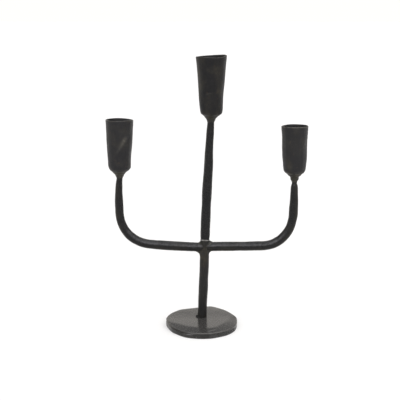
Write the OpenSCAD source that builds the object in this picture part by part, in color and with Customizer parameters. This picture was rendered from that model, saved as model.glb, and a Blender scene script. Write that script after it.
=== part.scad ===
// Tabletop candelabra in blackened iron: a forged base, a two-part stem, two bent arms
// and three swaged candle cups, joined by tenons, spigots and weld beads.
// Millimetres, +Z up. The origin is the middle of the base plate's underside.

/* [Base] */
// Thickness of the forged base plate
base_t = 8; // [4:0.5:12]
// Mean radius of the base plate
base_r = 42; // [34:1:60]
// Width of the hammered slope around the top of the plate
base_slope_w = 4.5; // [3:0.5:14]
// How far that slope's circle is moved back, so that it's wider at the front
base_slope_back = 8; // [0:0.5:10]
// Drop of that slope from its inner edge to the front rim
base_slope_drop = 1.3; // [0.5:0.1:2.5]
// Height of the step at the foot of the rim
base_step_h = 2.4; // [1:0.1:3]
// Depth of that step
base_step_in = 1; // [0.5:0.1:2]

/* [Post] */
// How far the post stands behind the middle of the plate
post_back = 9.2; // [0:0.5:16]
// How far the post stands to the right of the middle of the plate
post_side = 0.4; // [-4:0.1:4]
// Diameter of the lower stem
post_d = 10; // [9:0.1:13]
// Length of the lower stem above the plate, along its axis
post_len = 94.6; // [80:0.1:120]
// Lean of the lower stem towards the right
post_lean = 2; // [0:0.1:3]
// Diameter of the tenon that passes through the plate
tenon_d = 7; // [5:0.1:8]
// Diameter of the peened head under the plate
peen_d = 11; // [10:0.1:14]
// Depth of the peened head
peen_h = 2.2; // [1:0.1:3]
// How far the peened head stays above the table
peen_recess = 0.4; // [0.2:0.1:1]
// Rounding of the shoulder at the top of the post
shoulder_round = 0.9; // [0.3:0.1:1.5]

/* [Spindle] */
// Diameter of the upper stem
spindle_d = 10; // [9:0.1:13]
// Length of the upper stem above the shoulder, along its axis
spindle_len = 135.6; // [110:0.1:170]
// Length of its parallel part
spindle_parallel = 68; // [40:1:100]
// Diameter of its drawn-down top
spindle_top_d = 7.8; // [7.5:0.1:10]
// Lean of the upper stem towards the right
spindle_lean = 2.7; // [0:0.1:4]
// Diameter of the tenon in the top of the post
joint_tenon_d = 6; // [4:0.1:7]
// Length of that tenon
joint_tenon_len = 14; // [6:0.5:20]
// Free depth of the hole beyond the tenon's end
joint_clearance = 1; // [0.5:0.1:3]

/* [Arms] */
// Diameter of the bar that the arms are bent from
arm_d = 10.2; // [9:0.1:13]
// Loss of diameter where the bar is bent
bend_thinning = 0.6; // [0.2:0.05:1]
// Depth of the left arm's axis below the shoulder of the post
left_drop = 10; // [8:0.1:20]
// Depth of the right arm's axis below the shoulder of the post
right_drop = 9.4; // [8:0.1:20]
// Distance from the post's axis to the left leg
left_reach = 98.2; // [80:0.1:130]
// Distance from the post's axis to the right leg
right_reach = 101.7; // [80:0.1:130]
// Upward slope of the left arm
left_rise = 3; // [0:0.1:6]
// Upward slope of the right arm
right_rise = 0.6; // [0:0.1:6]
// Bend radius of the left arm, to its axis
left_bend_r = 38; // [30:0.5:50]
// Bend radius of the right arm, to its axis
right_bend_r = 38; // [30:0.5:50]
// Inward lean of the left leg
left_leg_lean = 3; // [0:0.1:5]
// Inward lean of the right leg
right_leg_lean = 0; // [0:0.1:5]
// Height of the left leg's top above the inner end of its arm
left_leg_h = 81.6; // [70:0.1:110]
// Height of the right leg's top above the inner end of its arm
right_leg_h = 76.4; // [65:0.1:110]
// Diameter of the left leg's drawn-down top
left_top_d = 6.6; // [6.2:0.1:9]
// Diameter of the right leg's drawn-down top
right_top_d = 7.2; // [6.2:0.1:9]

/* [Cups] */
// Diameter of the candle seat in each cup
candle_d = 22.4; // [20:0.1:26]
// Height of the parallel candle seat
seat_len = 14; // [8:1:20]
// Wall of the cup at the candle seat's foot
cup_wall = 1.25; // [0.8:0.05:2.5]
// Wall of the cup at its rim
rim_wall = 1.4; // [0.8:0.1:2.5]
// Outer radius of the corner between body and funnel
corner_r = 5; // [3:0.5:7]
// Thickness of the cup's floor around the spigot
floor_t = 2; // [1:0.1:3]
// Height of the left cup's body above its corner
left_body_h = 52.2; // [40:0.2:70]
// Height of the centre cup's body above its corner
centre_body_h = 60.6; // [44:0.2:80]
// Height of the right cup's body above its corner
right_body_h = 47.2; // [36:0.2:66]
// How much wider the left cup's mouth is than its corner
left_flare = 6.1; // [4.5:0.1:14]
// How much wider the centre cup's mouth is than its corner
centre_flare = 8.3; // [4.5:0.1:16]
// How much wider the right cup's mouth is than its corner
right_flare = 5.1; // [4.5:0.1:14]
// Chamfer around the outside of each rim
rim_chamfer = 0.4; // [0.1:0.1:0.6]

/* [Joints] */
// Diameter of the spigots that hold the cups
spigot_d = 5; // [3:0.1:5.8]
// Free length of each spigot above the cup's floor
spigot_proud = 0.6; // [0.2:0.1:2]
// Height of the left cup's neck weld
left_neck_h = 4.1; // [3:0.1:8]
// Height of the centre cup's neck weld
centre_neck_h = 3.7; // [3:0.1:8]
// Height of the right cup's neck weld
right_neck_h = 6.3; // [3:0.1:8]
// Diameter of the neck welds where they meet the cup
neck_top_d = 9.2; // [8.5:0.1:12]
// Diameter of the right neck weld at its seam with the leg
right_seam_d = 6.2; // [5.8:0.1:7]
// How far from the post's axis the arms' inner ends are cut off
arm_end_cut = 2.5; // [1:0.1:4]
// Reach of the crossing's weld beads along each arm
weld_w = 5.5; // [3:0.5:9]
// Rise of the crossing's weld beads above the bar
weld_h = 2.2; // [1:0.1:3]
// Reach of the tack weld at the foot of the post
tack_w = 2.8; // [1:0.1:5]
// Height of the tack weld
tack_h = 2.2; // [1:0.1:4]
// Direction in which the tack weld starts, from the post's axis
tack_from = 145; // [90:5:180]
// Angle around the post that the tack weld covers
tack_turn = 70; // [30:5:90]
// Radial gap between a tenon or spigot and its hole
fit_gap = 0.15; // [0.05:0.05:0.4]
// Gap between a weld bead and the bars that it lies on
bead_gap = 0.1; // [0.05:0.05:0.3]

/* [Hidden] */

$fn = 64;
// facets around the widest round shapes
fine_fn = 96;
// overlap that joins touching shapes of one piece
eps = 0.01;
// how far a tenon, spigot or bar runs into the rest of its own piece
root = 1;
iron = [0.2, 0.2, 0.19];
base_iron = [0.36, 0.35, 0.32];
neck_iron = [0.26, 0.25, 0.21];

// the plate's hammered sides: direction in degrees, and distance beyond base_r
base_sides = [[0, -1], [28, -2.3], [50, -0.4], [74, 4.5], [108, -3.4], [140, -1.2], [166, -1.2],
              [196, -2.3], [222, -1.5], [245, 0.4], [268, 0.1], [296, 0.3], [320, 0.7], [342, -0.1]];
side_blend = 34;
outline_steps = 72;

// the smallest distance to any side in direction a, with its corners rounded
function side_term(a, s) =
    let (c = cos(a - s[0])) c > 0 ? pow(c / (base_r + s[1]), side_blend) : 0;
function sum(v, i = 0) = i < len(v) ? v[i] + sum(v, i + 1) : 0;
function plate_r(a) = pow(sum([for (s = base_sides) side_term(a, s)]), -1 / side_blend);
plate_max_r = max([for (i = [0 : outline_steps - 1]) plate_r(i * 360 / outline_steps)]);

// the middle of the post's foot, and a point on its axis at a length above it
foot = [post_side, post_back, base_t];
function on_post(len) = foot + len * [sin(post_lean), 0, cos(post_lean)];
post_top = on_post(post_len);
left_joint = on_post(post_len - left_drop);
right_joint = on_post(post_len - right_drop);
spindle_top = post_top + spindle_len * [sin(spindle_lean), 0, cos(spindle_lean)];

// An arm seen from its joint on the post, running out along +X: it rises at rise degrees,
// turns upwards on bend_r, and leans back inwards by lean degrees.
function bend_centre(reach, rise, bend_r) =
    [reach - bend_r, 0, (reach - bend_r) * tan(rise) + bend_r / cos(rise)];
function bend_end(reach, rise, bend_r, lean) =
    bend_centre(reach, rise, bend_r) + bend_r * [cos(lean), 0, sin(lean)];
function leg_top(reach, rise, bend_r, lean, leg_h) =
    let (end = bend_end(reach, rise, bend_r, lean))
    [end[0] - (leg_h - end[2]) * tan(lean), 0, leg_h];

left_top = leg_top(left_reach, left_rise, left_bend_r, left_leg_lean, left_leg_h);
right_top = leg_top(right_reach, right_rise, right_bend_r, right_leg_lean, right_leg_h);
left_foot = left_joint + [-left_top[0], 0, left_top[2]];
right_foot = right_joint + right_top;

// how far the bend runs into the straight stretches, in degrees
bend_overlap = 1.5;
// how much thinner than the bend the leg starts
leg_step = 0.2;
// how far the crossing's beads are set into the post's side, and their thickness at the thin end
weld_set = 1.2;
weld_edge = 0.2;
// how far the tack weld's section reaches under the post, before the post's space is cut away
tack_root = 0.5;
// the tack weld's outline from its toe to its crown, as shares of its reach and height
tack_outline = [[1, 0], [0.9, 0.4], [0.5, 0.85]];
// levels in the neck weld's hollow side
neck_steps = 5;

cup_r = candle_d / 2 + cup_wall;
diag = sqrt(0.5);
// rise from the cup's lip to its corner, down a funnel at 45 degrees
funnel_h = cup_r - corner_r + corner_r * diag - neck_top_d / 2 + corner_r * diag;
hole_r = spigot_d / 2 + fit_gap;

function spigot_len(neck_h) = neck_h + floor_t + spigot_proud;

// points of an arc about c in the half-plane, from angle a0 to a1
function arc(c, r, a0, a1, n = 6) =
    [for (i = [0 : n]) let (a = a0 + (a1 - a0) * i / n) c + r * [cos(a), sin(a)]];

module plate_outline(inset) {
    polygon([for (i = [0 : outline_steps - 1])
        let (a = i * 360 / outline_steps) (plate_r(a) - inset) * [cos(a), sin(a)]]);
}

module base() {
    slope_in = base_r - base_slope_w;
    slope_out = plate_max_r + base_slope_back;
    color(base_iron)
    difference() {
        union() {
            linear_extrude(base_step_h) plate_outline(base_step_in);
            intersection() {
                translate([0, 0, base_step_h - eps])
                    linear_extrude(base_t - base_step_h + eps) plate_outline(0);
                translate([0, base_slope_back, 0])
                    rotate_extrude($fn = fine_fn)
                    polygon([[0, 0], [slope_out, 0], [slope_out, base_t - base_slope_drop],
                             [slope_in, base_t], [0, base_t]]);
            }
        }
        translate([post_side, post_back, -eps]) {
            cylinder(h = base_t + 2 * eps, d = tenon_d + 2 * fit_gap);
            cylinder(h = peen_recess + 2 * eps, d = peen_d + 2 * fit_gap);
            translate([0, 0, peen_recess + eps])
                cylinder(h = peen_h, d1 = peen_d + 2 * fit_gap, d2 = tenon_d + 2 * fit_gap);
        }
    }
}

// moves its children to the foot of the post and leans them along it
module along_post() {
    translate(foot) rotate([0, post_lean, 0]) children();
}

module post() {
    color(iron)
    difference() {
        union() {
            difference() {
                along_post()
                    rotate_extrude()
                    polygon(concat([[0, -2 * root], [post_d / 2, -2 * root]],
                        arc([post_d / 2 - shoulder_round, post_len - shoulder_round],
                            shoulder_round, 0, 90),
                        [[0, post_len]]));
                translate(foot - post_d * [1, 1, 2]) cube(2 * post_d);
            }
            translate([post_side, post_back, peen_recess]) {
                cylinder(h = base_t - peen_recess + root, d = tenon_d);
                cylinder(h = peen_h, d1 = peen_d, d2 = tenon_d);
            }
        }
        along_post() translate([0, 0, post_len - joint_tenon_len - joint_clearance])
            cylinder(h = joint_tenon_len + 2 * joint_clearance,
                     d = joint_tenon_d + 2 * fit_gap);
    }
}

module spindle() {
    color(iron) {
        difference() {
            translate(post_top) rotate([0, spindle_lean, 0]) {
                translate([0, 0, -root]) cylinder(h = spindle_parallel + root, d = spindle_d);
                translate([0, 0, spindle_parallel])
                    cylinder(h = spindle_len - spindle_parallel, d1 = spindle_d,
                             d2 = spindle_top_d);
                translate([0, 0, spindle_len]) sphere(d = spindle_top_d);
            }
            along_post() translate([-post_d, -post_d, post_len - 2 * post_d]) cube(2 * post_d);
            translate(spindle_top - post_d * [1, 1, 0]) cube(2 * post_d);
        }
        along_post() translate([0, 0, post_len - joint_tenon_len])
            cylinder(h = joint_tenon_len + root, d = joint_tenon_d);
        translate(spindle_top - [0, 0, root])
            cylinder(h = spigot_len(centre_neck_h) + root, d = spigot_d);
    }
}

// one arm from the crossing outwards along +X: sloping run, bend, drawn-down leg, spigot
module bent_arm(reach, rise, bend_r, lean, top, top_d, neck_h) {
    run = (reach - bend_r + bend_r * sin(rise)) / cos(rise);
    bend_d = arm_d - bend_thinning;
    leg_end = bend_end(reach, rise, bend_r, lean);
    leg_len = norm(top - leg_end);
    rotate([0, 90 - rise, 0]) translate([0, 0, arm_end_cut])
        cylinder(h = run - arm_end_cut, d = arm_d);
    translate(bend_centre(reach, rise, bend_r))
        rotate([90, 0, 0]) rotate([0, 0, rise - 90 - bend_overlap])
        rotate_extrude(angle = 90 - rise + lean + bend_overlap)
        translate([bend_r, 0]) circle(d = bend_d);
    difference() {
        translate(leg_end) rotate([0, -lean, 0]) {
            translate([0, 0, -eps]) cylinder(h = leg_len + eps, d1 = bend_d - leg_step, d2 = top_d);
            translate([0, 0, leg_len - eps]) cylinder(h = root, d = top_d);
        }
        translate(top + [-arm_d, -arm_d, 0]) cube(2 * arm_d);
    }
    translate(top - [0, 0, root]) cylinder(h = spigot_len(neck_h) + root, d = spigot_d);
}

// the space that the post takes up beside the arms, with the weld gap around it
module post_space() {
    along_post() cylinder(h = post_len + arm_d, d = post_d + 2 * bead_gap);
}

module arm_left() {
    color(iron)
    difference() {
        translate(left_joint) mirror([1, 0, 0])
            bent_arm(left_reach, left_rise, left_bend_r, left_leg_lean, left_top, left_top_d,
                     left_neck_h);
        post_space();
    }
}

module arm_right() {
    color(iron)
    difference() {
        translate(right_joint)
            bent_arm(right_reach, right_rise, right_bend_r, right_leg_lean, right_top,
                     right_top_d, right_neck_h);
        post_space();
    }
}

// a swaged cup standing on z = 0, its lip neck_h up: funnel, corner, seat, flared body
module cup(neck_h, body_h, flare) {
    corner_z = neck_h + funnel_h;
    top = corner_z + body_h;
    mouth_r = cup_r + flare / 2;
    centre = [cup_r - corner_r, corner_z];
    inner_r = corner_r - cup_wall;
    inner_end = centre + inner_r * diag * [1, -1];
    floor_z = neck_h + floor_t;
    outside = concat([[hole_r, neck_h], [neck_top_d / 2, neck_h]],
        arc(centre, corner_r, -45, 0),
        [[mouth_r, top - rim_chamfer], [mouth_r - rim_chamfer, top]]);
    inside = concat([[mouth_r - rim_wall, top], [candle_d / 2, corner_z + seat_len]],
        arc(centre, inner_r, 0, -45),
        [[inner_end[0] - (inner_end[1] - floor_z), floor_z], [hole_r, floor_z]]);
    rotate_extrude($fn = fine_fn) polygon(concat(outside, inside));
}

module cup_left() {
    color(iron) translate(left_foot) cup(left_neck_h, left_body_h, left_flare);
}

module cup_centre() {
    color(iron) translate(spindle_top) cup(centre_neck_h, centre_body_h, centre_flare);
}

module cup_right() {
    color(iron) translate(right_foot) cup(right_neck_h, right_body_h, right_flare);
}

// a hollow-sided weld bead from the bar's shoulder, at z = 0, up to the cup's lip
module neck_weld(neck_h, seam_d) {
    step = (neck_top_d - seam_d) / 2;
    rotate_extrude()
        polygon(concat([[hole_r, 0], [seam_d / 2, 0]],
            [for (i = [1 : neck_steps])
                let (t = i / neck_steps) [seam_d / 2 + step * t * t, neck_h * t]],
            [[hole_r, neck_h]]));
}

module neck_weld_left() {
    color(neck_iron) translate(left_foot) neck_weld(left_neck_h, left_top_d);
}

module neck_weld_centre() {
    color(neck_iron) translate(spindle_top) neck_weld(centre_neck_h, spindle_top_d);
}

module neck_weld_right() {
    color(neck_iron) translate(right_foot) neck_weld(right_neck_h, right_seam_d);
}

// a collar of weld around the inner end of an arm, saddled onto the post
module arm_weld(rise) {
    hole_d = arm_d + 2 * bead_gap;
    rotate([0, 90 - rise, 0]) translate([0, 0, post_d / 2 - weld_set])
        difference() {
            cylinder(h = weld_w, d1 = arm_d + 2 * weld_h, d2 = hole_d + 2 * weld_edge);
            translate([0, 0, -eps]) cylinder(h = weld_w + 2 * eps, d = hole_d);
        }
}

module arm_weld_left() {
    color(iron)
    difference() {
        translate(left_joint) mirror([1, 0, 0]) arm_weld(left_rise);
        post_space();
    }
}

module arm_weld_right() {
    color(iron)
    difference() {
        translate(right_joint) arm_weld(right_rise);
        post_space();
    }
}

// a short tack weld on the left of the post's foot, lying on the plate
module foot_weld() {
    inner = post_d / 2 + bead_gap;
    color(iron)
    difference() {
        translate(foot) rotate([0, 0, tack_from])
            rotate_extrude(angle = tack_turn)
            polygon(concat([[inner - tack_root, 0]],
                [for (t = tack_outline) [inner + tack_w * t[0], tack_h * t[1]]],
                [[inner - tack_root, tack_h]]));
        along_post() translate([0, 0, -post_d])
            cylinder(h = 2 * post_d, d = post_d + 2 * bead_gap);
    }
}

base();
post();
spindle();
arm_left();
arm_right();
cup_left();
cup_centre();
cup_right();
neck_weld_left();
neck_weld_centre();
neck_weld_right();
arm_weld_left();
arm_weld_right();
foot_weld();
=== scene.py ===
"""Tabletop candelabra in blackened forged iron: the finished surface of each piece, made over the frame.

Lengths below are millimetres, +Z up, and become metres when a mesh is made. The origin is the
middle of the base plate's underside, the arms lie in a plane parallel to XZ, and -Y is the front.
"""

import math

import bpy
import numpy as np
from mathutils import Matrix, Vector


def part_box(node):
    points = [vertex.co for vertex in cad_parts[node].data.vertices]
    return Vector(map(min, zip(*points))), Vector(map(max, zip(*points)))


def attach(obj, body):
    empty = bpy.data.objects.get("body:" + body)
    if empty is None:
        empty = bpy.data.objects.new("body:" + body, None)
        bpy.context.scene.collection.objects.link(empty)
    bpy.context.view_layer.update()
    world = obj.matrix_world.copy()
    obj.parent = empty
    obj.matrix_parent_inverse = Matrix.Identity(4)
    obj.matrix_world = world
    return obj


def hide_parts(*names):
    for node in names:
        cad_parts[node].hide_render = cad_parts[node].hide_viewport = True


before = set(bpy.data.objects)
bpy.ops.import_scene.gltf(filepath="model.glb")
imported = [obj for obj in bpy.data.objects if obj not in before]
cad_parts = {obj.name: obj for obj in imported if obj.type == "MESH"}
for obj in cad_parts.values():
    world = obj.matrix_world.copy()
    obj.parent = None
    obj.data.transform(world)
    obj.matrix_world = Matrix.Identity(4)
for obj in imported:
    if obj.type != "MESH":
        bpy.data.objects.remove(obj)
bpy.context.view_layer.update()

METRE = 0.001
TURN = 2 * math.pi
FRONT = np.array([0.0, -1.0, 0.0])


# ---------------------------------------------------------------- sizes taken from the frame


def corners(node):
    """Lowest and highest corner of a node of the frame, in millimetres."""
    low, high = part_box(node)
    return np.array(low) / METRE, np.array(high) / METRE


def axis_of(node):
    """Middle of a node's box in x and y."""
    low, high = corners(node)
    return (low[:2] + high[:2]) / 2


plate_top = corners("base")[1][2]
stem_y = axis_of("post")[1]
FOOT = np.array([0.4, stem_y, plate_top])
POST_LEN, POST_LEAN, POST_R = 94.6, math.radians(2.0), 5.0
SPINDLE_LEN, SPINDLE_LEAN = 135.6, math.radians(2.7)
POST_DIR = np.array([math.sin(POST_LEAN), 0, math.cos(POST_LEAN)])
POST_TOP = FOOT + POST_LEN * POST_DIR
SPINDLE_DIR = np.array([math.sin(SPINDLE_LEAN), 0, math.cos(SPINDLE_LEAN)])
TENON_R, TENON_LEN, SPIGOT_R, HOLE_R = 3.0, 14.0, 2.5, 2.65
PEG_R, PEEN_R, PEEN_H, PEEN_RECESS, FIT = 3.5, 5.5, 2.2, 0.4, 0.15


# ---------------------------------------------------------------- formulas


def smooth(t):
    """Smoothstep 3t² - 2t³ of t, held between 0 and 1."""
    t = np.clip(t, 0, 1)
    return t * t * (3 - 2 * t)


def through(stations, values, at):
    """Cubic Hermite curve through the stations, with the slope at each from its two neighbours."""
    x, y = np.asarray(stations, float), np.asarray(values, float)
    slope = np.gradient(y, x, axis=0)
    at = np.clip(np.asarray(at, float), x[0], x[-1])
    k = np.clip(np.searchsorted(x, at, side="right") - 1, 0, len(x) - 2)
    gap = x[k + 1] - x[k]
    t = (at - x[k]) / gap
    if y.ndim > 1:
        gap, t = gap[..., None], t[..., None]
    a = (2 * t**3 - 3 * t**2 + 1) * y[k] + (t**3 - 2 * t**2 + t) * gap * slope[k]
    return a + (3 * t**2 - 2 * t**3) * y[k + 1] + (t**3 - t**2) * gap * slope[k + 1]


def lattice(points, cell, seed):
    """Smooth noise from -1 to 1: random values on a cubic lattice with that cell, blended by the
    smoothstep between the eight corners around each point."""
    table = np.random.default_rng(seed).uniform(-1, 1, (32, 32, 32))
    scaled = points / cell
    base = np.floor(scaled).astype(int)
    near = smooth(scaled - base)
    total = np.zeros(points.shape[:-1])
    for corner in np.ndindex(2, 2, 2):
        share = np.prod(np.where(np.array(corner, bool), near, 1 - near), axis=-1)
        at = (base + corner) % 32
        total += share * table[at[..., 0], at[..., 1], at[..., 2]]
    return total


def lower(a, b, blend):
    """The lower of a and b, with the crease rounded over the width blend (quadratic minimum)."""
    near = np.clip(1 - np.abs(a - b) / blend, 0, None)
    return np.minimum(a, b) - near * near * blend / 4


def flats(radius, angle, along, marks, blend=0.12):
    """Hammer flats on a round section. Each mark (direction, station, reach, depth) is a plane at
    radius - depth from the axis, which rises out of the metal as exp(-(distance / reach)²) along
    the bar: the section is the lower of radius and plane / cos(angle - direction). The metal that
    the marks push aside swells the rest, so each ring keeps its mean radius."""
    out = radius.copy()
    for direction, station, reach, depth in marks:
        plane = radius - depth * np.exp(-(((along - station) / reach) ** 2))
        turned = np.cos(angle - direction)
        cut = np.where(turned > 0.5, plane / np.maximum(turned, 0.5), np.inf)
        hit = np.isfinite(cut)
        out = np.where(hit, lower(out, np.where(hit, cut, out + 9), blend), out)
    lost = (radius - out).mean(axis=1, keepdims=True)
    return out + 1.25 * lost


def dents(radius, angle, along, hollows):
    """Hollows beaten into a wall: each (direction, station, half width, half height, tilt, depth)
    takes depth * exp(-(across² + up²)) off the radius, in axes turned by tilt on the wall."""
    out = radius.copy()
    for direction, station, wide, high, tilt, depth in hollows:
        off = (angle - direction + math.pi) % TURN - math.pi
        across, up = off * radius, along - station
        a = (across * math.cos(tilt) + up * math.sin(tilt)) / wide
        b = (up * math.cos(tilt) - across * math.sin(tilt)) / high
        out -= depth * np.exp(-(a * a + b * b))
    return out


def strokes(seed, count, first, last, reach, depth):
    """Random hammer strokes between two stations, with their reach and depth each in a range."""
    dice = np.random.default_rng(seed)
    return list(zip(dice.uniform(0, TURN, count), dice.uniform(first, last, count),
                    dice.uniform(*reach, count), dice.uniform(*depth, count)))


# ---------------------------------------------------------------- meshes


def skin(name, points, closed=False, **marks):
    """A mesh over a grid of points. Rows follow a profile or path and columns go round it, so the
    columns always close. With closed, the rows close too, as on a ring. Otherwise the first and
    last rows are single points. marks are numbers for each point, kept as attributes."""
    rows, cols = points.shape[:2]
    index = np.arange(rows * cols).reshape(rows, cols)
    if not closed:
        index[0], index[-1] = 0, index[-1, 0]
    kept, flat = np.unique(index, return_inverse=True)
    index = flat.reshape(rows, cols)
    here = index if closed else index[:-1]
    after = np.roll(index, -1, axis=0) if closed else index[1:]
    quads = np.stack([here, np.roll(here, -1, axis=1), np.roll(after, -1, axis=1), after], -1)
    if closed:
        loops, sizes = quads.reshape(-1), np.full(rows * cols, 4)
    else:
        first, last = quads[0][:, [0, 2, 3]], quads[-1][:, [0, 1, 3]]
        body = quads[1:-1].reshape(-1, 4)
        loops = np.concatenate([first.ravel(), body.ravel(), last.ravel()])
        sizes = np.concatenate([np.full(cols, 3), np.full(len(body), 4), np.full(cols, 3)])
    mesh = bpy.data.meshes.new(name)
    mesh.vertices.add(len(kept))
    mesh.vertices.foreach_set("co", (points.reshape(-1, 3)[kept] * METRE).ravel())
    mesh.loops.add(len(loops))
    mesh.loops.foreach_set("vertex_index", loops.astype(np.int32))
    mesh.polygons.add(len(sizes))
    mesh.polygons.foreach_set("loop_start", np.concatenate([[0], np.cumsum(sizes)[:-1]]).astype(np.int32))
    mesh.polygons.foreach_set("use_smooth", np.ones(len(sizes), bool))
    mesh.update(calc_edges=True)
    mesh.validate()
    for mark, values in marks.items():
        values = np.broadcast_to(values, (rows, cols)).ravel()[kept]
        mesh.attributes.new(mark, "FLOAT", "POINT").data.foreach_set("value", values.astype(np.float32))
    piece = bpy.data.objects.new(name, mesh)
    bpy.context.collection.objects.link(piece)
    return piece


def fitted(piece, material, slot, *nodes):
    """Gives a piece its material, its body and the nodes that it stands for."""
    piece.data.materials.append(material)
    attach(piece, "root")
    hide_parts(*nodes)
    return piece


def around(count):
    """Angles of the columns. 0 is the left of an upright piece, a quarter turn is its front."""
    return np.arange(count) / count * TURN


def square_to(path):
    """Up: the direction in the plane of a path that is square to it, at each of its points."""
    along = np.gradient(path, axis=0)
    along /= np.linalg.norm(along, axis=1)[:, None]
    return np.cross(FRONT, along)


def carried(path, radius, angle):
    """Rings of that radius carried along a path in a plane parallel to XZ: each point is the path's
    point + radius * (cos(angle) * up + sin(angle) * front)."""
    ring = np.cos(angle)[None, :, None] * square_to(path)[:, None, :] + np.sin(angle)[None, :, None] * FRONT
    return path[:, None, :] + radius[..., None] * ring


def lathe(profile, angle, centre):
    """Rings of a profile of (radius, height), turned about an upright axis through centre."""
    r, z = profile[..., 0], profile[..., 1]
    return np.stack([centre[0] - r * np.cos(angle), centre[1] - r * np.sin(angle), z], -1)


def spaced(points, step):
    """A polyline cut into steps of at most that length, which keeps its corners."""
    points = np.asarray(points, float)
    spans = np.linalg.norm(np.diff(points, axis=0), axis=1)
    out = [points[:1]]
    for a, b, span in zip(points[:-1], points[1:], spans):
        n = max(1, math.ceil(span / step))
        out.append(a + (b - a) * (np.arange(1, n + 1) / n)[:, None])
    return np.concatenate(out)


def rounded(points, radii, steps=5):
    """A polyline with each corner replaced by a quadratic curve that starts and ends at that
    radius from it."""
    points = [np.asarray(p, float) for p in points]
    out = [points[0]]
    t = np.linspace(0, 1, steps + 1)[:, None]
    for before, corner, after, radius in zip(points, points[1:], points[2:], radii):
        a, b = before - corner, after - corner
        a *= min(radius, np.linalg.norm(a) / 2) / np.linalg.norm(a)
        b *= min(radius, np.linalg.norm(b) / 2) / np.linalg.norm(b)
        out.extend((1 - t) ** 2 * (corner + a) + 2 * t * (1 - t) * corner + t**2 * (corner + b))
    return np.array(out + [points[-1]])


def straight(profile, start, direction, angle, shift=None):
    """Rings of a profile of (radius, station) on a straight bar: start + station * direction
    + radius * (cos(angle) * up + sin(angle) * front), moved sideways by shift."""
    r, s = profile[..., 0], profile[..., 1]
    up = np.cross(FRONT, direction)
    ring = np.cos(angle)[None, :, None] * up + np.sin(angle)[None, :, None] * FRONT
    points = start + s[..., None] * direction + r[..., None] * ring
    return points if shift is None else points + shift[:, None, :]


# ---------------------------------------------------------------- base plate

PLATE_R = 42.0
# direction of each hammered side in degrees, and its distance beyond the mean radius
SIDES = np.array([[0, -1], [28, -2.3], [50, -0.4], [74, 4.5], [108, -3.4], [140, -1.2], [166, -1.2],
                  [196, -2.3], [222, -1.5], [245, 0.4], [268, 0.1], [296, 0.3], [320, 0.7], [342, -0.1]])
# the slopes beaten around the top: direction, distance of its crease from the middle, and fall
SLOPES = [(237, 27.2, 0.085), (255, 26.2, 0.085), (289, 30.0, 0.1), (321, 27.8, 0.1),
          (338, 28.8, 0.1), (8, 37.5, 0.11)]
# directions in which the blows drew the rim out, and how far
DRAWN = np.array([[-6, 0.5], [18, 0.7], [170, 0.9], [194, 0.6], [354, 0.5]])
BURR = np.array([[3.4, -39.4], [16.6, -31.8]])


def outline(angle):
    """Radius of the plate: the smallest distance to any side, with corners blended by a power
    mean of exponent 34, drawn out a little further at the left and right."""
    c = np.cos(angle[:, None] - np.radians(SIDES[:, 0]))
    terms = np.where(c > 0, c, 0) / (PLATE_R + SIDES[:, 1])
    drawn = np.exp(-((angle[:, None] - np.radians(DRAWN[:, 0])) / 0.26) ** 2)
    return np.sum(terms**34, axis=1) ** (-1 / 34) + drawn @ DRAWN[:, 1]


def plate_height(x, y):
    """Top of the plate: the lowest of the flat and its slopes, thickness - fall * (distance in the
    slope's direction - distance of its crease), rising by a smoothstep towards the back, with the
    hammer's shallow texture over it, pits at the back left, and a thin burr
    exp(-(distance / 0.6)²) at the front."""
    z = np.full(np.shape(x), plate_top - 0.02)
    for direction, crease, fall in SLOPES:
        d = x * math.cos(math.radians(direction)) + y * math.sin(math.radians(direction))
        z = lower(z, plate_top - fall * (d - crease), 0.2)
    flat = np.stack([x, y, 0 * x], -1)
    back_left = smooth((np.cos(np.arctan2(y, x) - math.radians(140)) - 0.55) / 0.3)
    pitted = back_left * smooth((np.hypot(x, y) - 12) / 8)
    z -= 0.04 * (1 + lattice(flat, 9, 11)) * smooth((np.hypot(x - FOOT[0], y - FOOT[1]) - 6) / 5)
    z -= 0.003 * (1 + lattice(flat, 1.6, 12)) * (1 + 3 * pitted)
    z += 0.6 * smooth((y - 2) / 34)
    start, end = BURR
    along = (end - start) / np.linalg.norm(end - start)
    t = (x - start[0]) * along[0] + (y - start[1]) * along[1]
    off = (y - start[1]) * along[0] - (x - start[0]) * along[1]
    burr = smooth(t / 3) * (1 - smooth((t - 12) / 5))
    z += 0.2 * burr * np.exp(-((off / 0.6) ** 2))
    return z - 0.06 * pitted * smooth((lattice(flat, 2.2, 13) - 0.25) / 0.5)


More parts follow.
